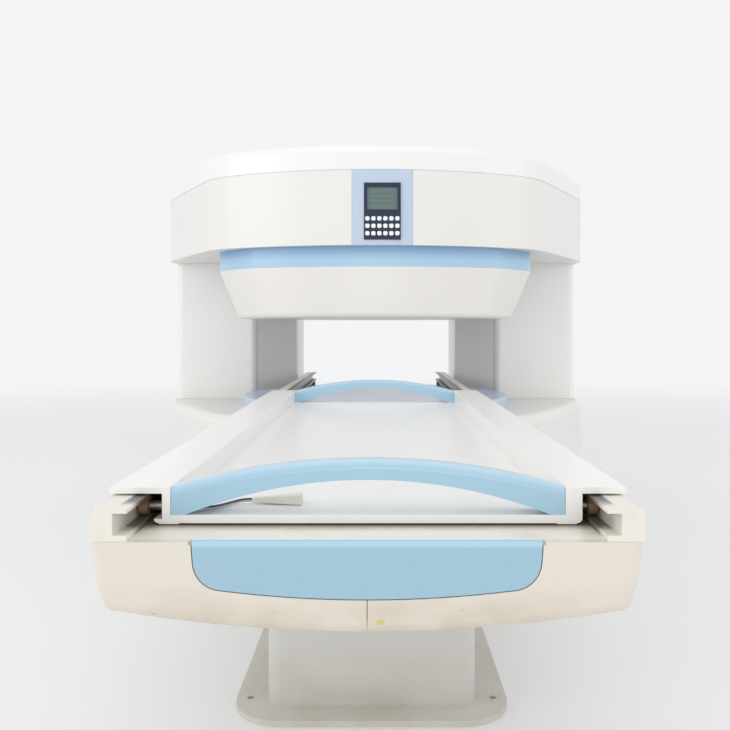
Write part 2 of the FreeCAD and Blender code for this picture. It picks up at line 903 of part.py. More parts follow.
def make_handle(front, rear):
    handle = deepened(handle_front_profile(), front, rear)
    crown_edges = []
    for edge in handle.Edges:
        flat = edge.BoundBox.YLength < 0.01
        if flat and edge.BoundBox.ZMax > flange_top + handle_crown - 0.01:
            crown_edges.append(edge)
    return handle.makeFillet(handle_edge_radius, crown_edges)


def lead_points():
    return [Vector(x, y, floor_top + height) for x, y, height in lead_route]


def lead_hole():
    points = lead_points()
    radius = lead_radius + lead_hole_clearance
    bends = [Part.makeSphere(radius, points[1])]
    for start, end in zip(points[:2], points[1:3]):
        run = end - start
        bends.append(Part.makeCylinder(radius, run.Length, start, run))
    return joined(bends)


def make_front_handle():
    handle = make_handle(-top_front, -top_front + handle_depth)
    return handle.cut(lead_hole())


def make_rear_handle():
    rear = top_length - top_front
    return make_handle(rear - handle_depth, rear)


def make_roller(side, y):
    inner = roller_inner_x
    wheel = axle_bar(side, roller_radius, inner, inner + roller_width, y)
    rims = [edge for edge in wheel.Edges if edge.BoundBox.XLength < 0.01]
    wheel = wheel.makeFillet(roller_edge_radius, rims)
    return wheel.cut(axle_bar(side, axle_radius + axle_fit, inner - 1.0, inner + roller_width + 1.0, y))


def make_axle(side, y):
    pocket_x = web_outer - pocket_depth
    notched = side < 0 and y < -top_front + pocket_length
    web_face = pocket_x if notched else web_outer
    cap_start = roller_inner_x + roller_width + axle_side_gap
    bar = axle_bar(side, axle_radius, pocket_x - axle_depth, cap_start, y)
    collar = axle_bar(side, axle_collar_radius, web_face, roller_inner_x - axle_side_gap, y)
    cap = axle_bar(side, axle_collar_radius, cap_start, cap_start + axle_cap, y)
    return joined([bar, collar, cap])


def make_roller_axles():
    axles = []
    for side in (-1, 1):
        for y in roller_rows():
            axles.append(make_axle(side, y))
    return Part.makeCompound(axles)


# ---- lead and plug ----

def make_coil_lead():
    points = lead_points()
    edges = []
    start = points[0]
    for before, corner, after in zip(points, points[1:], points[2:]):
        back = before - corner
        ahead = after - corner
        run = min(back.Length, ahead.Length)
        turn = math.pi - back.getAngle(ahead)
        reach = 0.45 * run
        radius = reach / math.tan(turn / 2.0)
        print("lead bend radius", round(radius, 1))
        back.normalize()
        ahead.normalize()
        inward = back + ahead
        inward.normalize()
        first = corner + back * reach
        last = corner + ahead * reach
        middle = corner + inward * (radius / math.cos(turn / 2.0) - radius)
        edges.append(Part.LineSegment(start, first).toShape())
        edges.append(Part.Arc(first, middle, last).toShape())
        start = last
    edges.append(Part.LineSegment(start, points[-1]).toShape())
    path = Part.Wire(edges)
    ring = Part.Wire(Part.makeCircle(lead_radius, points[0], points[1] - points[0]))
    tube = path.makePipeShell([ring], True, True)
    expected = math.pi * lead_radius ** 2 * path.Length
    print("lead length", round(path.Length, 1), "volume ratio", round(tube.Volume / expected, 4))
    return tube


def make_coil_plug():
    # a wedge from the lead's end to its wide end, which rests on the tray floor
    end = lead_points()[-1]
    neck_bottom = end.z - plug_neck / 2.0
    neck = plug_ring(end.x, end.y, plug_neck, neck_bottom, plug_neck)
    wide_end = plug_ring(end.x + plug_length, end.y, plug_width, floor_top + plug_clearance, plug_height)
    return Part.makeLoft([neck, wide_end], True, True)


def plug_ring(x, y, width, bottom, height):
    half = width / 2.0
    top = bottom + height
    places = [(y - half, bottom), (y + half, bottom), (y + half, top), (y - half, top)]
    corners = [(u, v, plug_edge_radius) for u, v in places]
    return rounded_wire(corners, lambda u, v: Vector(x, u, v))


# ---- every node ----

def all_nodes():
    right_post = make_right_post()
    column_cover = make_right_column_cover()
    rear_cover = make_right_rear_cover()
    nose_cover = make_right_nose_cover()
    rail = make_right_rail()
    nodes = {
        "lower_yoke": make_lower_yoke(),
        "upper_yoke": make_upper_yoke(),
        "left_post": mirror_left(right_post),
        "right_post": right_post,
        "lower_magnet": make_lower_magnet(),
        "upper_magnet": make_upper_magnet(),
        "lower_pole_piece": make_lower_pole_piece(),
        "upper_pole_piece": make_upper_pole_piece(),
        "lower_gradient_coil": make_lower_gradient_coil(),
        "upper_gradient_coil": make_upper_gradient_coil(),
        "levelling_feet": make_levelling_feet(),
        "top_cap": make_top_cap(),
        "upper_front_cover": make_upper_front_cover(),
        "lower_front_cover": make_lower_front_cover(),
        "left_column_cover": mirror_left(column_cover),
        "right_column_cover": column_cover,
        "left_rear_cover": mirror_left(rear_cover),
        "right_rear_cover": rear_cover,
        "upper_pole_band": make_upper_pole_band(),
        "upper_pole_skirt": make_upper_pole_skirt(),
        "lower_pole_cover": make_lower_pole_cover(),
        "control_panel": make_control_panel(),
        "display_bezel": make_display_bezel(),
        "lcd_screen": make_lcd_screen(),
        "table_body": make_table_body(),
        "table_pedestal": make_table_pedestal(),
        "left_nose_cover": mirror_left(nose_cover),
        "right_nose_cover": nose_cover,
        "nose_inset": make_nose_inset(),
        "left_rail": mirror_left(rail),
        "right_rail": rail,
        "rail_brackets": make_rail_brackets(),
        "tabletop": make_tabletop(),
        "front_handle": make_front_handle(),
        "rear_handle": make_rear_handle(),
        "roller_axles": make_roller_axles(),
        "coil_lead": make_coil_lead(),
        "coil_plug": make_coil_plug(),
    }
    for side, side_name in ((-1, "left"), (1, "right")):
        for y, end_name in zip(roller_rows(), ("front", "rear")):
            nodes[end_name + "_" + side_name + "_roller"] = make_roller(side, y)
    for row in range(key_rows):
        for column in range(key_columns):
            nodes["key_r%d_c%d" % (row + 1, column + 1)] = make_key(row, column)
    return nodes


os.makedirs("parts", exist_ok=True)
for name, shape in all_nodes().items():
    sound = shape.isValid() and all(solid.Volume > 0 for solid in shape.Solids)
    print(name, len(shape.Solids), round(shape.Volume / 1e6, 3), "" if sound else "NOT SOUND")
    shape.exportStep("parts/" + name + ".step")
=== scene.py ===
import json
import math
import bmesh
import bpy
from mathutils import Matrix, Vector


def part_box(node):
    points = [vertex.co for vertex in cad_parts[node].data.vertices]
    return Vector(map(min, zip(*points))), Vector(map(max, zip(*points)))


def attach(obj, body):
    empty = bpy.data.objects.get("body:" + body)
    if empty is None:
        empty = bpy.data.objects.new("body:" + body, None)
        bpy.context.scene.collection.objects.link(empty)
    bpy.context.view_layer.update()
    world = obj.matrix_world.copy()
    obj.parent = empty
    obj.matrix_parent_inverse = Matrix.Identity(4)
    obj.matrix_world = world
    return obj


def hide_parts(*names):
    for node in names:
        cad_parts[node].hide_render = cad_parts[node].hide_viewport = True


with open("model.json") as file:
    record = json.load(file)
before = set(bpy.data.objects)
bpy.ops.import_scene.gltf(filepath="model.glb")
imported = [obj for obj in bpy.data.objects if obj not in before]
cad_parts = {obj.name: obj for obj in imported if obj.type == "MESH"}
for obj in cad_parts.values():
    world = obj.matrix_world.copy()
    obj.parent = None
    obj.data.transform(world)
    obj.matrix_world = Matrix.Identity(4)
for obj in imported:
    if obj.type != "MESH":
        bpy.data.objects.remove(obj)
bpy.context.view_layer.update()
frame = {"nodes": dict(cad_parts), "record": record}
scene = bpy.context.scene
print("frame loaded")

# ---------- camera, lights and floor ----------

view = {
    "place": (0.018, -4.08, 0.95),
    "pitch": 90.0,
    "sensor": 36.0,
    "lens": 38.47,
    "shiftX": -0.019,
    "shiftY": -0.0527,
    "farEnd": 100.0,
}


def addCamera():
    data = bpy.data.cameras.new("camera")
    data.sensor_width = view["sensor"]
    data.lens = view["lens"]
    data.shift_x = view["shiftX"]
    data.shift_y = view["shiftY"]
    data.clip_end = view["farEnd"]
    camera = bpy.data.objects.new("camera", data)
    camera.location = view["place"]
    camera.rotation_euler = (math.radians(view["pitch"]), 0.0, 0.0)
    scene.collection.objects.link(camera)
    scene.camera = camera


studio = {
    "sky": (0.985, 0.99, 1.0),
    "skyStrength": 0.92,
    "floor": (0.84, 0.845, 0.85),
    "floorSize": 40.0,
    "floorFade": (3.5, 11.0),
    "floorRoughness": 0.7,
    "floorCloud": 0.6,
    "floorLift": 1.03,
    "lights": [
        # name, place, looks at, width, height, watts
        ("overhead", (0.0, -2.2, 4.6), (0.0, -1.0, 0.8), 3.0, 3.0, 14.0),
        ("leftSide", (-4.6, -3.6, 2.4), (0.0, -0.6, 1.0), 3.0, 2.6, 38.0),
        ("rightSide", (5.0, -3.0, 2.0), (0.0, -0.6, 1.0), 3.0, 2.6, 16.0),
        ("frontFill", (0.0, -7.0, 1.10), (0.0, 0.0, 1.0), 3.0, 1.0, 22.0),
    ],
}


def addLight(name, place, target, width, height, watts):
    data = bpy.data.lights.new(name, "AREA")
    data.shape = "RECTANGLE"
    data.size = width
    data.size_y = height
    data.energy = watts
    light = bpy.data.objects.new(name, data)
    light.visible_camera = False
    light.location = place
    light.rotation_euler = (Vector(target) - Vector(place)).to_track_quat("-Z", "Y").to_euler()
    scene.collection.objects.link(light)


def addStudio():
    world = bpy.data.worlds.new("studioSky")
    world.use_nodes = True
    sky = world.node_tree.nodes["Background"]
    sky.inputs["Color"].default_value = (*studio["sky"], 1.0)
    sky.inputs["Strength"].default_value = studio["skyStrength"]
    scene.world = world
    for row in studio["lights"]:
        addLight(*row)
    mesh = bpy.data.meshes.new("studioFloor")
    shape = bmesh.new()
    bmesh.ops.create_grid(shape, x_segments=1, y_segments=1, size=studio["floorSize"])
    shape.to_mesh(mesh)
    shape.free()
    floor = bpy.data.objects.new("studioFloor", mesh)
    scene.collection.objects.link(floor)
    mesh.materials.append(floorFinish())
    scene.view_settings.view_transform = "Standard"
    print("studio ready")


def floorFinish():
    # pale painted floor that fades into the sky's own brightness well away from the machine
    graph = Graph("floorPaint")
    graph.setFixed({"Roughness": studio["floorRoughness"]})
    cloud = graph.noise(studio["floorCloud"], 2.0)
    lifted = tinted(studio["floor"], studio["floorLift"])
    graph.feed("Base Color", graph.blend(cloud, studio["floor"], lifted))
    x = graph.axis("X")
    y = graph.axis("Y")
    away = (x * x + y * y) ** 0.5
    near, far = studio["floorFade"]
    glow = graph.add("Emission", values={"Color": studio["sky"], "Strength": studio["skyStrength"]})
    bsdf = Sock(graph, graph.shader.outputs["BSDF"])
    mixed = graph.add("MixShader", values={0: graph.step(away, near, far), 1: bsdf, 2: glow})
    graph.join(graph.tree.nodes["Material Output"].inputs["Surface"], mixed)
    return graph.material


# ---------- material maths ----------

class Sock:
    # wraps a node's socket, so an expression on it adds Math nodes
    def __init__(self, graph, socket):
        self.graph = graph
        self.socket = socket

    def maths(self, operation, first, second=None):
        values = {0: first} if second is None else {0: first, 1: second}
        return self.graph.add("Math", {"operation": operation}, values)

    def __add__(self, other):
        return self.maths("ADD", self, other)

    def __radd__(self, other):
        return self.maths("ADD", other, self)

    def __sub__(self, other):
        return self.maths("SUBTRACT", self, other)

    def __rsub__(self, other):
        return self.maths("SUBTRACT", other, self)

    def __mul__(self, other):
        return self.maths("MULTIPLY", self, other)

    def __rmul__(self, other):
        return self.maths("MULTIPLY", other, self)

    def __truediv__(self, other):
        return self.maths("DIVIDE", self, other)

    def __pow__(self, other):
        return self.maths("POWER", self, other)

    def __abs__(self):
        return self.maths("ABSOLUTE", self)


class Graph:
    # one material and its node tree
    def __init__(self, name):
        self.material = bpy.data.materials.new(name)
        self.material.use_nodes = True
        self.tree = self.material.node_tree
        self.shader = self.tree.nodes["Principled BSDF"]
        self.place = self.add("TexCoord", output="Object")

    def add(self, kind, settings=None, values=None, output=0):
        node = self.tree.nodes.new("ShaderNode" + kind)
        for key, value in (settings or {}).items():
            if key == "stops":
                self.setStops(node.color_ramp, value)
            else:
                setattr(node, key, value)
        for key, value in (values or {}).items():
            self.join(node.inputs[key], value)
        return Sock(self, node.outputs[output])

    def setStops(self, ramp, stops):
        while len(ramp.elements) < len(stops):
            ramp.elements.new(0.5)
        for element, (position, shade) in zip(ramp.elements, stops):
            element.position = position
            element.color = (shade, shade, shade, 1.0)

    def join(self, socket, value):
        if isinstance(value, Sock):
            self.tree.links.new(value.socket, socket)
        elif socket.type == "RGBA" and len(value) == 3:
            socket.default_value = (*value, 1.0)
        else:
            socket.default_value = value

    def feed(self, name, value):
        self.join(self.shader.inputs[name], value)

    def setFixed(self, values):
        for name, value in values.items():
            self.shader.inputs[name].default_value = value

    def axis(self, letter):
        return self.add("SeparateXYZ", values={0: self.place}, output=letter)

    def stretched(self, scale):
        return self.add("Mapping", values={"Vector": self.place, "Scale": scale})

    def noise(self, scale, detail=3.0, where=None, roughness=0.5):
        where = where or self.place
        values = {"Vector": where, "Scale": scale, "Detail": detail, "Roughness": roughness}
        return self.add("TexNoise", values=values)

    def step(self, value, low, high):
        values = {"Value": value, "From Min": low, "From Max": high}
        return self.add("MapRange", {"interpolation_type": "SMOOTHSTEP"}, values)

    def blend(self, amount, first, second):
        values = {0: amount, 6: first, 7: second}
        return self.add("Mix", {"data_type": "RGBA"}, values, output=2)

    def bump(self, height, strength, distance):
        values = {"Height": height, "Strength": strength, "Distance": distance}
        self.feed("Normal", self.add("Bump", values=values))


def tinted(colour, factor):
    return [min(1.0, part * factor) for part in colour]


# ---------- finishes ----------

lead = {
    "upper": (0.035, 0.045, 0.085),
    "lower": (0.46, 0.46, 0.46),
    "radius": 0.0034,
    "cornerShare": 0.985,
    "topFacing": (0.0, 0.35),
    "scuffEdge": (0.55, 0.75),
    "scuffAmount": 0.3,
    "scuffLift": 2.5,
    "floor": 0.638,
    # x, y and height over the tray floor
    "route": [(-0.312, -2.775, 0.0036), (-0.298, -2.769, 0.0036), (-0.279, -2.756, 0.0036),
              (-0.258, -2.744, 0.0036), (-0.245, -2.727, 0.0040), (-0.232, -2.712, 0.0050),
              (-0.218, -2.706, 0.0070), (-0.205, -2.706, 0.0070)],
}

paint = {
    "capWhite": (0.87, 0.86, 0.85),
    "beltWhite": (0.81, 0.795, 0.765),
    "wallWhite": (0.89, 0.875, 0.85),
    "skirtWhite": (0.79, 0.765, 0.73),
    "bandBlue": (0.36, 0.54, 0.70),
    "discBlue": (0.55, 0.65, 0.84),
    "panelBlue": (0.52, 0.61, 0.75),
    "handleBlue": (0.36, 0.57, 0.71),
    "insetBlue": (0.33, 0.52, 0.64),
    "bandShade": (0.19, 0.36, 0.58),
    "handleHighlightColour": (0.68, 0.78, 0.86),
    "trayWhite": (0.88, 0.87, 0.85),
    "deckCream": (0.88, 0.83, 0.74),
    "noseCream": (0.76, 0.70, 0.61),
    "railCream": (0.82, 0.78, 0.70),
    "bezelNavy": (0.008, 0.018, 0.048),
    "keyWhite": (0.86, 0.88, 0.90),
    "plugCream": (0.74, 0.71, 0.60),
    "rollerTan": (0.24, 0.145, 0.075),
    "axleSteel": (0.40, 0.38, 0.35),
    "footSteel": (0.60, 0.60, 0.60),
    "pedestalGrey": (0.62, 0.61, 0.58),
    "yokeSteel": (0.22, 0.22, 0.23),
    "magnetPlating": (0.42, 0.42, 0.43),
    "coilResin": (0.30, 0.18, 0.07),
    "stainYellow": (0.62, 0.55, 0.12),
    "grime": (0.40, 0.31, 0.17),
    "dust": (0.55, 0.50, 0.42),
}


spray = {
    "driftScale": 1.3,
    "speckleScale": 420.0,
    "speckleEdge": (0.55, 0.72),
    "speckleLift": 1.25,
    "wipeScale": 5.0,
    "wipeStretch": (1.0, 0.35, 2.4),
    "wipeGloss": 0.14,
    "peelScale": 260.0,
    "peelDepth": 0.0003,
    "coatRoughness": 0.18,
    "refraction": 1.48,
}


def sprayed(name, colour, roughness=0.36, peel=0.25, coat=0.25, mottle=0.02, speckle=0.0):
    # sprayed shell: slow drift of shade, fine orange peel, faint wiped streaks in the gloss
    graph = Graph(name)
    drift = graph.noise(spray["driftScale"], 2.0)
    shade = graph.blend(drift, tinted(colour, 1.0 - mottle), tinted(colour, 1.0 + mottle))
    if speckle > 0:
        spots = graph.step(graph.noise(spray["speckleScale"], 1.0), *spray["speckleEdge"]) * speckle
        shade = graph.blend(spots, shade, tinted(colour, spray["speckleLift"]))
    wiped = graph.noise(spray["wipeScale"], 4.0, graph.stretched(spray["wipeStretch"]))
    gloss = spray["wipeGloss"]
    graph.feed("Roughness", wiped * gloss + (roughness - gloss / 2.0))
    graph.bump(graph.noise(spray["peelScale"], 2.0), peel, spray["peelDepth"])
    graph.setFixed({"Coat Weight": coat, "Coat Roughness": spray["coatRoughness"]})
    graph.setFixed({"IOR": spray["refraction"]})
    graph.feed("Base Color", shade)
    return graph, shade


def plainSpray(name, colour, **settings):
    return sprayed(name, colour, **settings)[0].material


soil = {
    "cloudScale": 9.0,
    "cloudStretch": (1.0, 1.0, 1.8),
    "cloudEdge": (0.32, 0.72),
    "cloudShare": 0.75,
    "speckScale": 95.0,
    "speckEdge": (0.70, 0.78),
    "speckAmount": 0.5,
    "speckShade": 0.6,
    "stainRagged": (160.0, 0.8),
    "stainEdge": (0.55, 1.35),
    "stainAmount": 0.85,
}


def soiledSpray(name, colour, dirtTop, dirtBottom, amount, spots=(), **settings):
    # sprayed shell that yellows and gathers dirt between two heights, with a few small stains
    graph, shade = sprayed(name, colour, **settings)
    height = graph.axis("Z")
    low = 1.0 - graph.step(height, dirtBottom, dirtTop)
    clouds = graph.noise(soil["cloudScale"], 5.0, graph.stretched(soil["cloudStretch"]))
    share = soil["cloudShare"]
    patches = low * (graph.step(clouds, *soil["cloudEdge"]) * share + (1.0 - share)) * amount
    shade = graph.blend(patches, shade, paint["grime"])
    specks = graph.step(graph.noise(soil["speckScale"], 2.0), *soil["speckEdge"])
    specks = specks * low * soil["speckAmount"]
    shade = graph.blend(specks, shade, tinted(paint["grime"], soil["speckShade"]))
    for x, z, width, tall, stain in spots:
        across = (graph.axis("X") - x) / width
        up = (height - z) / tall
        scale, depth = soil["stainRagged"]
        ragged = graph.noise(scale, 2.0) * depth
        inside = 1.0 - graph.step(across * across + up * up + ragged, *soil["stainEdge"])
        shade = graph.blend(inside * soil["stainAmount"], shade, stain)
    graph.feed("Base Color", shade)
    return graph.material


railWearAndShade = {
    "smearScale": 16.0,
    "smearStretch": (2.2, 0.5, 2.6),
    "smearEdge": (0.50, 0.82),
    "smearAmount": 0.28,
    "speckScale": 120.0,
    "speckEdge": (0.66, 0.76),
    "speckAmount": 0.35,
    "speckShade": 0.7,
    "grooveEdge": (-0.002, 0.006),
    "grooveStart": (0.030, 0.085),
    "grooveRagged": (60.0, 0.03),
    "grooveGrimeAndShade": 0.92,
    "grooveShade": 0.12,
}


def railFinish():
    # powder-coated extrusion with rubbed grey smudges, and dirt with painted shade darkening the roller
    # grooves
    graph, shade = sprayed("railCoat", paint["railCream"], roughness=0.42, peel=0.3)
    smear = graph.noise(railWearAndShade["smearScale"], 5.0, graph.stretched(railWearAndShade["smearStretch"]))
    smear = graph.step(smear, *railWearAndShade["smearEdge"]) * railWearAndShade["smearAmount"]
    shade = graph.blend(smear, shade, paint["dust"])
    specks = graph.step(graph.noise(railWearAndShade["speckScale"], 3.0), *railWearAndShade["speckEdge"])
    specks = specks * railWearAndShade["speckAmount"]
    shade = graph.blend(specks, shade, tinted(paint["grime"], railWearAndShade["speckShade"]))
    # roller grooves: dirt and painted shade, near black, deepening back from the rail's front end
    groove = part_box("front_right_roller")[1].x
    near, far = [groove + reach for reach in railWearAndShade["grooveEdge"]]
    inward = 1.0 - graph.step(abs(graph.axis("X")), near, far)
    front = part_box("right_rail")[0].y
    near, far = [front + reach for reach in railWearAndShade["grooveStart"]]
    scale, depth = railWearAndShade["grooveRagged"]
    along = graph.step(graph.axis("Y") + graph.noise(scale, 3.0) * depth, near, far)
    black = tinted(paint["grime"], railWearAndShade["grooveShade"])
    shade = graph.blend(inward * along * railWearAndShade["grooveGrimeAndShade"], shade, black)
    graph.feed("Base Color", shade)
    return graph.material


deckWearAndShade = {
    "stainScale": 7.0,
    "stainStretch": (1.0, 2.2, 1.0),
    "stainEdge": (0.48, 0.78),
    "stainAmount": 0.32,
    "markScale": 70.0,
    "markStretch": (0.5, 1.6, 1.0),
    "markEdge": (0.68, 0.76),
    "markAmount": 0.30,
    "contactDirtAndShade": 0.85,
    "contactReach": 0.060,
    "contactFade": (0.01, 0.10),
    "contactFalloff": 1.6,
    "contactRagged": (40.0, 0.012),
    "contactShade": 0.45,
}


def deckFinish():
    # painted deck: dusty, a few rubbed marks near the front, a brown line of dirt and painted shade where
    # the tabletop stops
    graph, shade = sprayed("deckPaint", paint["deckCream"], roughness=0.45, peel=0.3)
    stain = graph.noise(deckWearAndShade["stainScale"], 6.0, graph.stretched(deckWearAndShade["stainStretch"]), 0.6)
    stain = graph.step(stain, *deckWearAndShade["stainEdge"]) * deckWearAndShade["stainAmount"]
    shade = graph.blend(stain, shade, paint["grime"])
    marks = graph.noise(deckWearAndShade["markScale"], 3.0, graph.stretched(deckWearAndShade["markStretch"]))
    marks = graph.step(marks, *deckWearAndShade["markEdge"]) * deckWearAndShade["markAmount"]
    shade = graph.blend(marks, shade, paint["dust"])
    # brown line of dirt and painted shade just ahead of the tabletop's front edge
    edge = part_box("tabletop")[0].y
    ahead = edge - graph.axis("Y")
    scale, depth = deckWearAndShade["contactRagged"]
    ragged = graph.noise(scale, 3.0) * depth
    line = (1.0 - graph.step(ahead + ragged, 0.0, deckWearAndShade["contactReach"])) ** deckWearAndShade["contactFalloff"]
    hidden = 1.0 - graph.step(0.0 - ahead, *deckWearAndShade["contactFade"])
    brown = tinted(paint["grime"], deckWearAndShade["contactShade"])
    shade = graph.blend(line * hidden * deckWearAndShade["contactDirtAndShade"], shade, brown)
    graph.feed("Base Color", shade)
    return graph.material


bandShading = {"heights": (0.25, 1.0), "amount": 0.85, "paintedLowerLift": 1.12}


def bandFinish():
    # blue band with painted shade, deepest under the belt's lip, and painted light making it paler at its
    # lower edge
    graph = sprayed("bandSpray", paint["bandBlue"], roughness=0.34)[0]
    # painted shade: darkest at the band's top, lifting to painted light at its bottom
    low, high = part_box("upper_pole_band")
    up = (graph.axis("Z") - low.z) / (high.z - low.z)
    depth = graph.step(up, *bandShading["heights"]) * bandShading["amount"]
    lower = tinted(paint["bandBlue"], bandShading["paintedLowerLift"])
    graph.feed("Base Color", graph.blend(depth, lower, paint["bandShade"]))
    return graph.material


handlePaintedHighlight = {"facing": (0.15, 0.95), "amount": 0.35}


def handleFinish():
    # gloss blue moulding with a painted highlight, paler along its upward-facing rounded side
    graph, shade = sprayed("handleSpray", paint["handleBlue"], roughness=0.30, coat=0.4)
    # painted highlight: paler where the surface faces up
    normal = graph.add("NewGeometry", output="Normal")
    facing = graph.add("SeparateXYZ", values={0: normal}, output="Z")
    pale = graph.step(facing, *handlePaintedHighlight["facing"]) * handlePaintedHighlight["amount"]
    graph.feed("Base Color", graph.blend(pale, shade, paint["handleHighlightColour"]))
    return graph.material


insetHighlightAndDust = {
    "highlightHeights": (0.010, 0.0045),
    "highlightAmount": 0.6,
    "highlightLift": 1.35,
    "dustScale": 6.0,
    "dustEdge": (0.5, 0.8),
    "dustAmount": 0.15,
}


def insetFinish():
    # speckled blue panel with a paler band of painted highlight along its rolled top edge
    graph, shade = sprayed("insetSpray", paint["insetBlue"], roughness=0.5, coat=0.1, speckle=0.35)
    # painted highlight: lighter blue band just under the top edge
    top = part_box("nose_inset")[1].z
    low, high = [top - depth for depth in insetHighlightAndDust["highlightHeights"]]
    band = graph.step(graph.axis("Z"), low, high) * insetHighlightAndDust["highlightAmount"]
    shade = graph.blend(band, shade, tinted(paint["insetBlue"], insetHighlightAndDust["highlightLift"]))
    grey = graph.step(graph.noise(insetHighlightAndDust["dustScale"], 4.0), *insetHighlightAndDust["dustEdge"])
    shade = graph.blend(grey * insetHighlightAndDust["dustAmount"], shade, paint["dust"])
    graph.feed("Base Color", shade)
    return graph.material


grain = {
    "cloudScale": 22.0,
    "glossScale": 60.0,
    "glossSpread": 0.12,
    "depth": 0.0001,
}


def moulded(name, colour, roughness, strength, scale, drift):
    # moulded plastic: slight drift of shade, uneven gloss and a fine grain
    graph = Graph(name)
    cloud = graph.noise(grain["cloudScale"], 3.0)
    graph.feed("Base Color", graph.blend(cloud, tinted(colour, 1.0 - drift), tinted(colour, 1.0 + drift)))
    spread = grain["glossSpread"]
    graph.feed("Roughness", graph.noise(grain["glossScale"], 3.0) * spread + (roughness - spread / 2.0))
    graph.bump(graph.noise(scale, 2.0), strength, grain["depth"])
    return graph.material


steel = {
    "darker": 0.8,
    "lighter": 1.15,
    "glossSpread": 0.25,
    "glossDrop": 0.12,
    "pitScale": 9.0,
    "pitStrength": 0.2,
    "pitDepth": 0.0003,
}


def castSteel(name, colour, roughness, metallic=1.0, scale=40.0):
    # metal with a cloudy shade and fine pits; pitScale is a multiple of the cloud's scale
    graph = Graph(name)
    cloud = graph.noise(scale, 5.0)
    darker = tinted(colour, steel["darker"])
    lighter = tinted(colour, steel["lighter"])
    graph.feed("Base Color", graph.blend(cloud, darker, lighter))
    graph.feed("Roughness", cloud * steel["glossSpread"] + (roughness - steel["glossDrop"]))
    graph.bump(graph.noise(scale * steel["pitScale"], 3.0), steel["pitStrength"], steel["pitDepth"])
    graph.setFixed({"Metallic": metallic})
    return graph.material


turned = {
    "ringScale": 500.0,
    "ringStretch": (1.0, 0.02, 0.02),
    "ringStrength": 0.25,
    "ringDepth": 0.0002,
    "cloudScale": 90.0,
    "darker": 0.75,
    "lighter": 1.2,
    "gloss": (0.2, 0.35),
}


def turnedPlastic(name, colour):
    # bearing plastic with fine turning rings about the axle and a mottled shade
    graph = Graph(name)
    rings = graph.noise(turned["ringScale"], 1.0, graph.stretched(turned["ringStretch"]))
    cloud = graph.noise(turned["cloudScale"], 3.0)
    shade = graph.blend(cloud, tinted(colour, turned["darker"]), tinted(colour, turned["lighter"]))
    graph.feed("Base Color", shade)
    spread, lowest = turned["gloss"]
    graph.feed("Roughness", cloud * spread + lowest)
    graph.bump(rings, turned["ringStrength"], turned["ringDepth"])
    return graph.material


display = {
    "ink": (0.03, 0.05, 0.05),
    "ground": (0.105, 0.165, 0.150),
    "edge": (0.085, 0.130, 0.175),
    "rows": 4,
    "cells": 16,
    "margin": (0.55, 0.98),
    "rowSpan": ((0.30, 0.40), (0.62, 0.72)),
    "cellSpan": ((0.05, 0.18), (0.80, 0.95)),
    "textAcross": (0.36, 0.40),
    "textUp": (0.34, 0.38),
    "inkAmount": 0.35,
    "fixed": {"Roughness": 0.22, "Coat Weight": 0.6, "Coat Roughness": 0.05},
}


def between(graph, value, span):
    rise, fall = span
    return graph.step(value, *rise) * (1.0 - graph.step(value, *fall))


def displayFinish():
    # unlit reflective panel: grey-green ground, bluish margin, faint rows of blank character cells
    graph = Graph("displayGlass")
    low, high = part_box("lcd_screen")
    middle = (low + high) / 2.0
    across = (graph.axis("X") - middle.x) / (high.x - low.x)
    up = (graph.axis("Z") - middle.z) / (high.z - low.z)
    edge = graph.step(abs(across) * 2.0, *display["margin"])
    shade = graph.blend(edge, display["ground"], display["edge"])
    lines = graph.add("Math", {"operation": "FRACT"}, {0: (up + 0.5) * (display["rows"] + 1.0)})
    letters = graph.add("Math", {"operation": "FRACT"}, {0: (across + 0.5) * display["cells"]})
    blocks = between(graph, lines, display["rowSpan"]) * between(graph, letters, display["cellSpan"])
    acrossText = 1.0 - graph.step(abs(across), *display["textAcross"])
    upText = 1.0 - graph.step(abs(up), *display["textUp"])
    text = blocks * (acrossText * upText) * display["inkAmount"]
    shade = graph.blend(text, shade, display["ink"])
    graph.feed("Base Color", shade)
    graph.setFixed(display["fixed"])
    return graph.material


def leadFinish():
    # two-colour lead: navy upper side, light grey underneath
    graph = Graph("leadSheath")
    normal = graph.add("NewGeometry", output="Normal")
    facing = graph.add("SeparateXYZ", values={0: normal}, output="Z")
    scuffs = graph.step(graph.noise(300.0, 3.0), *lead["scuffEdge"]) * lead["scuffAmount"]
    upper = graph.blend(scuffs, lead["upper"], tinted(lead["upper"], lead["scuffLift"]))
    top = graph.step(facing, *lead["topFacing"])
    graph.feed("Base Color", graph.blend(top, lead["lower"], upper))
    graph.feed("Roughness", graph.noise(200.0, 2.0) * 0.12 + 0.34)
    graph.bump(graph.noise(900.0, 2.0), 0.2, 0.0001)
    return graph.material


# x, z, width and height of the small stain under the nose's middle
noseStain = (0.0205, 0.4985, 0.009, 0.006)


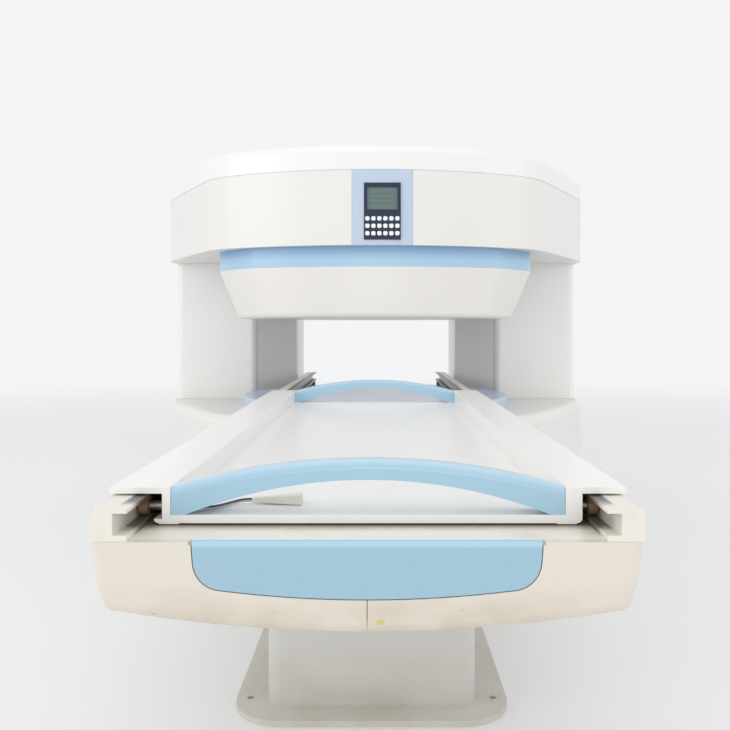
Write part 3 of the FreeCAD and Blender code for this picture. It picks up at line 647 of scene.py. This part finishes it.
def makeFinishes():
    noseSpots = ((*noseStain, paint["stainYellow"]),)
    return {
        "cap_white": plainSpray("capSpray", paint["capWhite"], roughness=0.30),
        "belt_white": plainSpray("beltSpray", paint["beltWhite"]),
        "wall_white": plainSpray("wallSpray", paint["wallWhite"], roughness=0.4),
        "skirt_white": plainSpray("skirtSpray", paint["skirtWhite"]),
        "band_blue": bandFinish(),
        "disc_blue": plainSpray("discSpray", paint["discBlue"], roughness=0.30),
        "panel_blue": plainSpray("panelFilm", paint["panelBlue"], roughness=0.45, coat=0.0, peel=0.15),
        "bezel_navy": moulded("bezelNavy", paint["bezelNavy"], 0.5, 0.35, 900.0, 0.05),
        "lcd_glass": displayFinish(),
        "key_white": moulded("keyWhite", paint["keyWhite"], 0.35, 0.2, 1400.0, 0.03),
        "deck_cream": deckFinish(),
        "nose_cream": soiledSpray("noseSpray", paint["noseCream"], 0.575, 0.485, 0.42, spots=noseSpots),
        "inset_blue": insetFinish(),
        "pedestal_paint": soiledSpray("pedestalPaint", paint["pedestalGrey"], 0.20, 0.0, 0.25,
                                      roughness=0.5),
        "rail_cream": railFinish(),
        "tray_white": plainSpray("trayGelCoat", paint["trayWhite"], roughness=0.33),
        "handle_blue": handleFinish(),
        "roller_tan": turnedPlastic("rollerTan", paint["rollerTan"]),
        "axle_steel": castSteel("axleSteel", paint["axleSteel"], 0.42),
        "lead_grey": leadFinish(),
        "plug_cream": moulded("plugCream", paint["plugCream"], 0.42, 0.25, 900.0, 0.05),
        "yoke_steel": castSteel("yokeSteel", paint["yokeSteel"], 0.55, 0.6),
        "magnet_block": castSteel("magnetPlating", paint["magnetPlating"], 0.35, 0.9, 12.0),
        "coil_resin": moulded("coilResin", paint["coilResin"], 0.35, 0.2, 200.0, 0.15),
        "foot_steel": castSteel("footSteel", paint["footSteel"], 0.35),
    }


# ---------- pieces taken on from the construction ----------

def link(name, shape):
    mesh = bpy.data.meshes.new(name)
    shape.to_mesh(mesh)
    shape.free()
    piece = bpy.data.objects.new(name, mesh)
    scene.collection.objects.link(piece)
    mesh.shade_smooth()
    return piece


def nodeBody(node):
    for body, members in frame["record"]["behaviour"]["bodies"].items():
        if node in members:
            return body
    return "root"


def standFor(piece, node, slot):
    piece.data.materials.clear()
    piece.data.materials.append(finishes[slot])
    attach(piece, nodeBody(node))
    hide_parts(node)


def mergedShape(node):
    # the node's triangles joined up, with its flat faces made whole
    mesh = frame["nodes"][node].data.copy()
    for name in [a.name for a in mesh.attributes if "normal" in a.name]:
        mesh.attributes.remove(mesh.attributes[name])
    shape = bmesh.new()
    shape.from_mesh(mesh)
    bpy.data.meshes.remove(mesh)
    bmesh.ops.remove_doubles(shape, verts=shape.verts, dist=softEdge["mergeWithin"])
    flat = math.radians(softEdge["flatWithin"])
    bmesh.ops.dissolve_limit(shape, angle_limit=flat, verts=shape.verts, edges=shape.edges)
    return shape


def softened(node, name, slot, width):
    piece = link(name, mergedShape(node))
    bevel = piece.modifiers.new("softEdges", "BEVEL")
    bevel.width = width
    bevel.segments = softEdge["segments"]
    bevel.limit_method = "ANGLE"
    bevel.angle_limit = math.radians(softEdge["angle"])
    bevel.harden_normals = True
    bevel.use_clamp_overlap = True
    standFor(piece, node, slot)


softEdge = {"segments": 2, "angle": 32.0, "mergeWithin": 0.00003, "flatWithin": 0.4}

softPieces = [
    # node, piece, finish, edge width in metres
    ("upper_front_cover", "upperFrontCover", "belt_white", 0.0020),
    ("left_column_cover", "leftColumnCover", "wall_white", 0.0015),
    ("right_column_cover", "rightColumnCover", "wall_white", 0.0015),
    ("left_rear_cover", "leftRearCover", "wall_white", 0.0015),
    ("right_rear_cover", "rightRearCover", "wall_white", 0.0015),
    ("upper_pole_band", "upperPoleBand", "band_blue", 0.0015),
    ("control_panel", "controlPanel", "panel_blue", 0.0006),
    ("display_bezel", "displayBezel", "bezel_navy", 0.0008),
    ("lcd_screen", "lcdScreen", "lcd_glass", 0.0005),
    ("table_pedestal", "tablePedestal", "pedestal_paint", 0.0020),
    ("left_rail", "leftRail", "rail_cream", 0.0010),
    ("right_rail", "rightRail", "rail_cream", 0.0010),
    ("rail_brackets", "railBrackets", "rail_cream", 0.0020),
    ("tabletop", "tabletopTray", "tray_white", 0.0012),
    ("levelling_feet", "levellingFeet", "foot_steel", 0.0010),
    ("roller_axles", "rollerAxles", "axle_steel", 0.0005),
]


def softenPieces():
    for node, name, slot, width in softPieces:
        softened(node, name, slot, width)
    print("softened pieces", len(softPieces))


def paintNodes():
    # what keeps the construction's own mesh gets its finish
    slots = {row["node"]: row["material_slot"] for row in frame["record"]["subparts"]}
    for node, obj in frame["nodes"].items():
        obj.data.materials.clear()
        obj.data.materials.append(finishes[slots[node]])


def layLead():
    curve = bpy.data.curves.new("coilLead", "CURVE")
    curve.dimensions = "3D"
    curve.bevel_depth = lead["radius"]
    curve.bevel_resolution = 4
    curve.resolution_u = 10
    curve.use_fill_caps = True
    spline = curve.splines.new("NURBS")
    spline.points.add(len(lead["route"]) - 1)
    for point, (x, y, height) in zip(spline.points, lead["route"]):
        point.co = (x, y, lead["floor"] + height, 1.0)
    spline.order_u = 3
    spline.use_endpoint_u = True
    piece = bpy.data.objects.new("coilLead", curve)
    scene.collection.objects.link(piece)
    curve.materials.append(finishes["lead_grey"])
    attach(piece, "tabletop")
    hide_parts("coil_lead")
    x, y, height = lead["route"][0]
    print("lead laid")


addCamera()
addStudio()
finishes = makeFinishes()
paintNodes()
softenPieces()
layLead()
